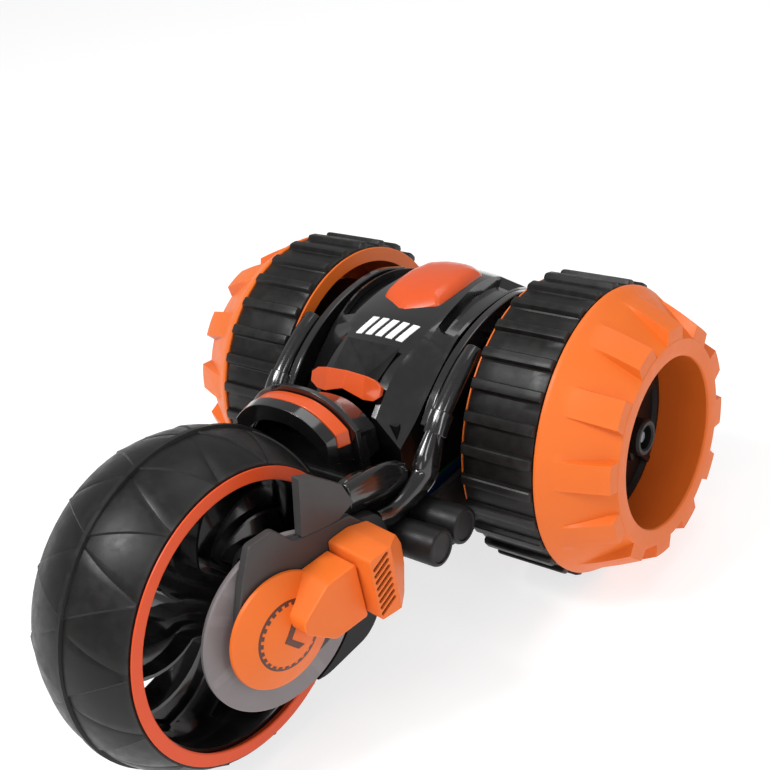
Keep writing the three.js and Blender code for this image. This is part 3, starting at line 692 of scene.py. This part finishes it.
def body_outline(y, inset=0.0):
    """Half of the section of the body: crown panel, channelled shoulder panel and side."""
    top_z, top, shoulder_z, half = station(y)
    depth = valley_depth(y)
    right = [(top * i / 8, crown_point(top * i / 8, y)) for i in range(0, 9)]
    edge_z = right[-1][1]
    slope = (shoulder_z - edge_z) / (half - top)
    lowered = 1 if inset else 0
    for x, share in ((top + 1.0, lowered), (top + 1.8, 1), (half - 2.0, 1), (half - 1.2, lowered)):
        right.append((x, edge_z + slope * (x - top) - depth * share))
    right.append((half, shoulder_z))
    for drop in (0.25, 0.5, 0.75, 1.0):
        right.append((half - 1.4 * drop, shoulder_z + (FOOT - shoulder_z) * drop))
    scale = (half - inset) / half
    return [(x * scale, z - inset if z > FOOT + 3 else z) for x, z in right]


def body_ring(y):
    """One closed section of the body's shell, outside and inside."""
    outer, inner = body_outline(y), body_outline(y, WALL)
    whole = [(-x, z) for x, z in outer[:0:-1]] + outer
    hollow = [(-x, z) for x, z in inner[:0:-1]] + inner
    return [(x, y, z) for x, z in whole + hollow[::-1]]


def upper_body():
    """The saddle-shaped shell with its tail, recess, window, vents and motor holes."""
    places = sorted({12 + 104 * i / 52 for i in range(53)} | {s[0] for s in STATIONS[:-1]}
                    | set(VALLEY))
    shell = skin([body_ring(y) for y in places])
    tail_rings = []
    for y, inset in ((112.5, 0.4), (116.2, 0.25), (117.3, 0.9), (117.8, 2.0)):
        outline = body_outline(min(y, 117), inset)
        tail_rings.append([(x, y, z) for x, z in [(-x, z) for x, z in outline[:0:-1]] + outline])
    front_panel = plate([(12.2, FOOT), (12.2, 72), (14, 80), (16.2, 80), (15, 72), (14.4, FOOT)],
                        -22.5, 22.5)
    plug = skin([[(-14, y, 85), (14, y, 85), (14, y, top), (-14, y, top)]
                 for y, top in ((18.5, 88.2), (28, 94), (37, 97.4))])
    # an inverted pyramid, so that its four faces meet in an X
    deep = (0, 27.5, 89)
    corners = [(-11, 21, 92.6), (11, 21, 92.6), (12.5, 35, 99.4), (-12.5, 35, 99.4)]
    lifted = [(x, y, z + 6) for x, y, z in corners]
    pyramid = ([deep, *corners, *lifted],
               [(0, 1, 2), (0, 2, 3), (0, 3, 4), (0, 4, 1), (1, 5, 6, 2), (2, 6, 7, 3),
                (3, 7, 8, 4), (4, 8, 5, 1), (5, 8, 7, 6)])
    vents = [block((-13 + 1.2 * i, 116.6, 57 + 3.6 * i), (13 - 1.2 * i, 119, 58.8 + 3.6 * i))
             for i in range(5)]
    motor_holes = [lathe([(low, 0), (low, radius), (high, radius), (high, 0)], centre, 48)
                   for low, high in ((20, 40), (-40, -20))
                   for centre, radius in ((MOTOR, 11.5), (REAR, 4.0))]
    window = plate([(8, 78), (8, 120), (18.6, 120), (18.6, 88), (16, 78)], -13, 13)
    whole = united(shell, skin(tail_rings), front_panel, plug)
    return carved(whole, pyramid, window, *vents, *motor_holes)


add_piece("upper_body", upper_body(), "black_plastic", "chassis", ["upper_body"], bevel=0.25,
          crease=13)


def recess_facets():
    """Dark lining of the pyramid-shaped recess in front of the bars."""
    deep = (0, 27.5, 89.15)
    corners = [(-10.8, 21.1, 92.5), (10.8, 21.1, 92.5), (12.3, 34.8, 99.3), (-12.3, 34.8, 99.3)]
    below = (0, 27.5, 87)
    return ([deep, *corners, below],
            [(0, 2, 1), (0, 3, 2), (0, 4, 3), (0, 1, 4),
             (5, 1, 2), (5, 2, 3), (5, 3, 4), (5, 4, 1)])


add_piece("recess_facets", recess_facets(), "satin_black", "chassis", bevel=0, crease=5)


def slanted_bars():
    """Five plain slanted bars in place of lettering."""
    bars = []
    for i in range(5):
        left = -11.6 + i * 4.7
        rings = []
        for lift in (0.28, -0.4):
            ring = []
            for share in (0, 0.25, 0.5, 0.75, 1):
                y = 38.6 + 8.2 * share
                x = left + 3.0 * share
                ring.append((x, y, crown_point(x, y) + lift))
            for share in (1, 0.75, 0.5, 0.25, 0):
                y = 38.6 + 8.2 * share
                x = left + 2.9 + 3.0 * share
                ring.append((x, y, crown_point(x, y) + lift))
            rings.append(ring)
        bars.append(skin(rings))
    return joined(*bars)


add_piece("crown_bars", slanted_bars(), "mark_white", "chassis", bevel=0)

CANOPY = [(0, 51), (13, 59.4), (14, 67), (14, 77), (12.4, 90), (6, 96.4), (0, 97.4), (-6, 96.4),
          (-12.4, 90), (-14, 77), (-14, 67), (-13, 59.4)]


def canopy():
    """A low faceted dome over the middle of the body, pointed at its front."""
    line = rounded(CANOPY, 1.6, 5)
    centre = Vector((0, 74))
    rings = []
    for scale, rise in ((1.0, -2.6), (1.0, 0.0), (0.985, 0.9), (0.94, 2.0), (0.86, 3.2),
                        (0.76, 4.0), (0.62, 4.5), (0.42, 4.8), (0.2, 4.9), (0.01, 4.95)):
        ring = []
        for point in line:
            x, y = centre + (Vector(point) - centre) * scale
            base = station(y)[0] - 1.5
            facet = 0.2 + 0.5 * (y - 51) + 0.05 * abs(x)  # the front slopes up more gently
            ring.append((x, y, base + (min(rise, facet) if rise > 0 else rise)))
        rings.append(ring)
    return skin(rings)


add_piece("canopy", canopy(), "gloss_orange", "chassis", ["canopy"], bevel=0.0, crease=24)


def beak():
    """The faceted visor plate at the front of the body."""
    right = [  # x, then y and z of the upper edge and of the lower edge
        (0, 17.6, 96.6, 13.4, 91.2), (9, 17.3, 96.3, 13.6, 88.2), (13.2, 16.9, 95.7, 14.2, 88.2),
        (16.2, 16.4, 93.6, 14.8, 90.2),
    ]
    rings = []
    for x, top_y, top_z, low_y, low_z in [(-r[0], *r[1:]) for r in right[:0:-1]] + right:
        rings.append([(x, top_y, top_z), (x, low_y, low_z), (x, low_y + 1.8, low_z),
                      (x, top_y + 1.6, top_z - 1.2)])
    return skin(rings)


add_piece("beak_panel", beak(), "gloss_orange", "chassis", ["beak_panel"], bevel=0.3, segments=3,
          crease=8)

BAND_PATH = [(17, 81), (27, 90.5), (42, 98.5), (60, 103), (80, 103), (96, 97.5)]
TUBE_PATH = [(37.9, 45, 98), (37.9, 36, 94.4), (37.9, 25.7, 88.2), (37.9, 18.1, 82.2),
             (37.9, 12, 74), (37.9, 9, 67)]
LINK = [(-34, 79.5), (-29, 86), (-20, 84.5), (-12.6, 81), (-5, 78), (3, 73.5), (8, 65), (12, 58),
        (13, 44), (8, 40), (-14, 40), (-22, 52), (-30, 66)]
FOOT_PATH = [(37.9, 16.4, 80.2), (37.9, 10, 73), (37.9, 4.7, 67.4), (37.9, -10.7, 64.6),
             (37.9, -21, 66.6)]
LEG_PATH = [(33.4, 0, 70), (33.4, -8, 74), (33.6, -20, 77.4), (34.2, -31, 80.4)]
PEG_Z = 53.2


def side_band():
    """The band that follows the rear wheel's circle along the body's side."""
    smooth = [tuple(p) for p in curve_points(BAND_PATH, 40)]
    inner = []
    for y, z in smooth:
        away = math.hypot(y - REAR[0], z - REAR[1])
        shrink = (away - 8) / away
        inner.append((REAR[0] + (y - REAR[0]) * shrink, REAR[1] + (z - REAR[1]) * shrink))
    return plate(smooth + inner[::-1], 30.6, 34)


def peg(y):
    """A round foot peg with a dished end."""
    return lathe([(34.6, 0), (34.6, 6.0), (35.2, 6.6), (53.7, 6.8), (54.5, 6.5), (54.8, 5.9),
                  (54.8, 5.4), (54.3, 5.1), (54.3, 0)], (y, PEG_Z), 64)


def foot_radius(along):
    """The tube's foot swells below the collar and tapers towards the fork."""
    return 4.4 + 2.2 * math.sin(math.pi * min(along / 0.7, 1)) - 0.6 * along


collar = sweep([(37.9, 21.7, 85.2), (37.9, 18.6, 82.6), (37.9, 15.6, 79.4)], 4.3, 8, 28)
foot = sweep(FOOT_PATH, foot_radius, 48, 28, 0.62)
leg = sweep(LEG_PATH, lambda along: 5.6 + 1.2 * math.sin(math.pi * along), 32, 24, 0.5)
for name, side in SIDES:
    add_piece(f"side_band_{name}", side_band(), "black_plastic", "chassis",
              [f"side_band_{name}"], side=side, bevel=0.6, segments=3)
    add_piece(f"frame_tube_{name}", sweep(TUBE_PATH, 3.5, 40, 28), "black_plastic", "chassis",
              [f"frame_tube_{name}"], side=side, bevel=0.4)
    add_piece(f"tube_collar_{name}", collar, "black_plastic", "chassis", side=side, bevel=0.5)
    add_piece(f"tube_foot_{name}", foot, "black_plastic", "chassis", side=side, bevel=0.8)
    add_piece(f"leg_top_{name}", leg, "black_plastic", "chassis", side=side, bevel=0.8)
    add_piece(f"link_{name}", plate(rounded(LINK, 4, 6), 29.6, 34.4), "black_plastic", "chassis",
              [f"link_{name}"], side=side, bevel=1.8, segments=5)
    for place, y in (("front", -10), ("rear", 4)):
        add_piece(f"{place}_peg_{name}", peg(y), "satin_black", "chassis",
                  [f"{place}_peg_{name}"], side=side, bevel=0)


# ---------------------------------------------------------------- lower chassis
CHASSIS = [(-11, 72), (-11, 46), (4, 30), (30, 24), (112, 24), (119, 32), (119, 51.5), (0, 51.5),
           (0, 72)]


def lower_chassis():
    """The tub under the body, with the battery hatch, switch slot and neck."""
    tub = plate(rounded(CHASSIS, 1.5), -33, 33)
    pocket = plate([(6, 60), (6, 33.5), (31, 27), (110.5, 27), (116.2, 33.5), (116.2, 60)],
                   -30.8, 30.8)
    neck = block((-20, -9, 60), (20, 0, 84))
    post = block((-8, -8, 83), (8, -2, 94))
    hatch = block((-19, 32.5, 20), (19, 85.5, 30))
    slot = block((8, 92, 20), (20, 98, 30))
    cheeks = [block((29.2 if s > 0 else -43, -20, 20), (43 if s > 0 else -29.2, 14, 90))
              for s in (1, -1)]
    grooves = [block((-34, 40 + 12 * i, 36), (34, 42 + 12 * i, 44)) for i in range(5)]
    side_grooves = [carved(g, block((-32.2, 0, 0), (32.2, 130, 60))) for g in grooves]
    return carved(united(tub, neck, post), pocket, hatch, slot, *cheeks, *side_grooves)


add_piece("lower_chassis", lower_chassis(), "satin_black", "chassis", ["lower_chassis"], bevel=0.6)


def battery_cover():
    """The ribbed lid under the battery, with a well for its screw."""
    lid = block((-18.6, 32.9, 24.2), (18.6, 85.1, 26.2))
    inside = block((-16, 33.5, 26), (16, 84.5, 27))
    ribs = [block((-14, 40 + 4 * i, 23), (14, 41.6 + 4 * i, 24.8)) for i in range(5)]
    well = [block((-2.6, 77.4, 20), (2.6, 82.6, 25))]
    return carved(united(lid, inside), *ribs, *well)


add_piece("battery_cover", battery_cover(), "satin_black", "chassis", ["battery_cover"], bevel=0.25)


# ---------------------------------------------------------------- gear cases
def gear_case():
    """A ribbed drum, drawn closed: the gears inside it are hidden in its material."""
    drum = lathe([(33.4, 0), (33.4, 37.4), (34, 38), (58.6, 38), (61.5, 36.6), (63.6, 33.6),
                  (63.6, 0)], REAR, 96)
    rib = block((34.2, REAR[0] - 0.8, REAR[1] + 36), (41.5, REAR[0] + 0.8, REAR[1] + 40.4))
    ribs = [turned(rib, 15 * i, REAR) for i in range(24)]
    return united(drum, *ribs)


# ---------------------------------------------------------------- rear wheels
BARS = 29
BAR_CENTRE = 53.9  # degrees, from the front upwards, to the middle of one tread bar


def rear_tyre():
    """A tyre with raised bars across its tread."""
    pitch = 360 / BARS
    deep, top = REAR_RADIUS - 2.1, REAR_RADIUS
    rows = [(-3.1, deep), (-2.5, deep + 0.35), (-1.75, top - 0.15), (-1.3, top), (0.2, top),
            (1.55, top - 0.05), (2.0, top - 0.5), (2.3, deep), (4.6, deep + 0.12),
            (6.8, deep + 0.12)]
    columns = [(43.5, 0.9), (43.9, 0.25), (44.6, 0), (51, -0.05), (58, -0.08), (65, -0.05),
               (71.4, 0), (72.1, 0.25), (72.4, 0.9)]
    rings = []
    for bar in range(BARS):
        for degrees, radius in rows:
            ring = []
            for x, drop in columns:
                limit = min(radius - drop, REAR_RADIUS)
                ring.append((x, *polar(REAR, limit, BAR_CENTRE + bar * pitch + degrees)))
            for x in (72.4, 43.5):
                ring.append((x, *polar(REAR, 50.2, BAR_CENTRE + bar * pitch + degrees)))
            rings.append(ring)
    return skin(rings, wrap=True)


LUGS = 12
LUG_PHASE = 13.0  # degrees, from the front upwards, to the middle of one lug
LUG_HALF = 5.5  # half width of a lug
LUG_START = 79.0  # x where the lugs rise out of the cone
LUG_END = 96.8  # x of their outer end
LUG_RISE = 5.0  # height of a lug at its outer end
CONE_START = 74.6
CONE_END = 97.0
LIP_RADIUS = 45  # where a lug's width is turned into an angle for the rings inside the lip


def cone(x):
    """Radius of a bowl's outer cone."""
    share = (x - CONE_START) / (CONE_END - CONE_START)
    return 54.1 - 15.7 * share + 0.5 * math.sin(math.pi * min(max(share, 0), 1))


def bowl():
    """The rear wheel: tyre seat, cone with wedge lugs, mouth and hollow back."""
    outside = [CONE_START, 76, 77.5, LUG_START, 81, 84, 87, 90, 93, LUG_END, LUG_END + 0.08,
               CONE_END]
    rest = [(97.0, 33.1), (96.7, 32.3), (96.0, 31.95), (90, 32.9), (83, 34.1), (75, 35.5),
            (70.6, 35.5), (70.6, 33), (68.6, 33), (68.6, 38), (90, 35.9), (90, 40.6), (73.4, 50.6),
            (70, 47.6), (42.4, 47.6), (42.4, 53.0), (42.7, 53.3), (43.1, 53.2), (43.2, 50),
            (72.8, 50), (72.8, 53.9), (73.1, 54.3), (74.0, 54.35)]
    rings = []
    pitch = 360 / LUGS
    for lug in range(LUGS):
        centre = pitch * lug + LUG_PHASE
        columns = [(-LUG_HALF - 0.15, 0), (-LUG_HALF + 0.25, 1), (-LUG_HALF / 2, 1), (0, 1),
                   (LUG_HALF / 2, 1), (LUG_HALF - 0.25, 1), (LUG_HALF + 0.15, 0)]
        columns += [(f, None) for f in (0.2, 0.4, 0.6, 0.8)]
        for offset, raised in columns:
            ring = []
            for x in outside:
                radius = cone(x)
                foot = math.degrees(math.asin((LUG_HALF + 0.15) / radius))
                if raised is None:
                    degrees = centre + foot + offset * (pitch - 2 * foot)
                    ring.append((x, *polar(REAR, radius, degrees)))
                    continue
                lift = 0.0
                if raised and LUG_START < x <= LUG_END:
                    lift = LUG_RISE * (x - LUG_START) / (LUG_END - LUG_START)
                up = math.sqrt(radius ** 2 - offset ** 2) + lift
                degrees = centre + math.degrees(math.atan2(offset, up))
                ring.append((x, *polar(REAR, math.hypot(up, offset), degrees)))
            foot = math.degrees(math.asin((LUG_HALF + 0.15) / LIP_RADIUS))
            if raised is None:
                degrees = centre + foot + offset * (pitch - 2 * foot)
            else:
                degrees = centre + math.degrees(math.asin(offset / LIP_RADIUS))
            ring += [(x, *polar(REAR, radius, degrees)) for x, radius in rest]
            rings.append(ring)
    return skin(rings, wrap=True)


def wheel_hub():
    """The spoked disc in the bowl, with its hollow boss."""
    disc = lathe([(71, 4.4), (71, 35.1), (74.6, 35.1), (75, 34.7), (75, 33), (73.4, 32.2),
                  (73.2, 9), (73.6, 7.6), (76, 6.9), (87, 6.9), (87.9, 6.3), (87.9, 5.0),
                  (87.3, 4.4)], REAR, 96)
    spoke = block((72.8, REAR[0] - 1.3, REAR[1] + 6), (76.4, REAR[0] + 1.3, REAR[1] + 32.6))
    spokes = [turned(spoke, 60 * i + 20, REAR) for i in range(6)]
    fin = block((73, REAR[0] - 0.9, REAR[1] + 6), (80, REAR[0] + 0.9, REAR[1] + 13))
    fins = [turned(fin, 60 * i + 50, REAR) for i in range(6)]
    collar = lathe([(66.5, 2.5), (66.5, 6), (71.5, 6), (71.5, 2.5)], REAR, 48)
    return united(disc, collar, *spokes, *fins)


TYRE, BOWL, HUB, CASE = rear_tyre(), bowl(), wheel_hub(), gear_case()
for name, side in SIDES:
    wheel = f"{name}_wheel"
    for piece, shape, material, body, bevel in (
            ("gear_case", CASE, "satin_black", "chassis", 0.3),
            ("rear_tyre", TYRE, "tyre_rubber", wheel, 0),
            ("wheel_bowl", BOWL, "orange_plastic", wheel, 0.3),
            ("wheel_hub", HUB, "satin_black", wheel, 0.35)):
        add_piece(f"{piece}_{name}", shape, material, body, [f"{piece}_{name}"], side=side,
                  bevel=bevel)


# ---------------------------------------------------------------- carried-over CAD pieces
KEPT = {
    "front_axle": "steel", "cover_screw": "steel", "battery_pack": "battery_wrap",
    "circuit_board": "circuit_board", "power_switch": "nylon",
}
for name, _ in SIDES:
    KEPT.update({f"motor_{name}": "steel", f"rear_shaft_{name}": "steel"})
    for gear in ("motor_pinion", "idler_gear", "drive_gear"):
        KEPT[f"{gear}_{name}"] = "nylon"
for node, slot in KEPT.items():
    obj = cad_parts[node]
    obj.data.materials.clear()
    obj.data.materials.append(MATERIALS[slot])
    modifier = obj.modifiers.new("edges", "BEVEL")
    modifier.width = 0.15 * MM
    modifier.segments = 2
    modifier.limit_method = "ANGLE"
    modifier.angle_limit = math.radians(35)


# ---------------------------------------------------------------- stage, light and camera
def floor():
    """A plain pale floor with a glow of its own, just below the wheels."""
    mesh = bpy.data.meshes.new("floor")
    size = 30.0
    mesh.from_pydata([(-size, -size, 0), (size, -size, 0), (size, size, 0), (-size, size, 0)], [],
                     [(0, 1, 2, 3)])
    obj = bpy.data.objects.new("floor", mesh)
    obj.location.z = -0.0002
    bpy.context.scene.collection.objects.link(obj)
    pale = surface("pale_floor", (165, 165, 165), 0.8, mottle=0.005, wear_and_edge_sheen=0.0, bump=0.02,
                   specular=0.05)
    shader = pale.node_tree.nodes["Principled BSDF"]
    shader.inputs["Emission Color"].default_value = (1, 1, 1, 1)
    shader.inputs["Emission Strength"].default_value = 0.72
    obj.data.materials.append(pale)


floor()
world = bpy.data.worlds.new("studio")
bpy.context.scene.world = world
world.use_nodes = True
world.node_tree.nodes["Background"].inputs["Color"].default_value = (1, 1, 1, 1)
world.node_tree.nodes["Background"].inputs["Strength"].default_value = 0.4


def area_light(name, place, target, size, power):
    """A soft rectangular light, aimed at a point."""
    data = bpy.data.lights.new(name, "AREA")
    data.shape = "RECTANGLE"
    data.size, data.size_y = size
    data.energy = power
    obj = bpy.data.objects.new(name, data)
    obj.location = place
    obj.rotation_mode = "QUATERNION"
    obj.rotation_quaternion = (Vector(target) - Vector(place)).to_track_quat("-Z", "Y")
    bpy.context.scene.collection.objects.link(obj)


area_light("key", (-0.27, -0.58, 1.12), (0, -0.05, 0.06), (0.3, 0.3), 7.5)
area_light("strip", (-0.1, -0.58, 1.14), (0, -0.03, 0.06), (1.2, 0.2), 5)
area_light("side", (1.0, -0.25, 0.65), (0, 0, 0.06), (0.16, 0.6), 2.0)
area_light("front", (0.75, -1.0, 0.45), (0, 0, 0.05), (0.5, 0.5), 1.7)
area_light("top", (0.1, 0.5, 1.2), (0, 0.02, 0.06), (0.9, 0.5), 3)

# The camera looks from the car's front left, from above, and is rolled a little.
AZIMUTH, ELEVATION, ROLL = (math.radians(a) for a in (42.08, 28.87, -10.11))
CAMERA_PLACE = (0.29204, -0.28674, 0.32022)
LENS = 61.85
SENSOR = 36
back = Vector((math.sin(AZIMUTH) * math.cos(ELEVATION), -math.cos(AZIMUTH) * math.cos(ELEVATION),
               math.sin(ELEVATION)))
right = Vector((math.cos(AZIMUTH), math.sin(AZIMUTH), 0))
up = back.cross(right)
rolled_right = right * math.cos(ROLL) + up * math.sin(ROLL)
rolled_up = up * math.cos(ROLL) - right * math.sin(ROLL)
camera_data = bpy.data.cameras.new("camera")
camera_data.lens = LENS
camera_data.sensor_width = SENSOR
camera_data.clip_start = 0.01
camera = bpy.data.objects.new("camera", camera_data)
bpy.context.scene.collection.objects.link(camera)
turn = Matrix((rolled_right, rolled_up, back)).transposed().to_4x4()
camera.matrix_world = Matrix.Translation(CAMERA_PLACE) @ turn
bpy.context.scene.camera = camera
bpy.context.scene.view_settings.view_transform = "Standard"
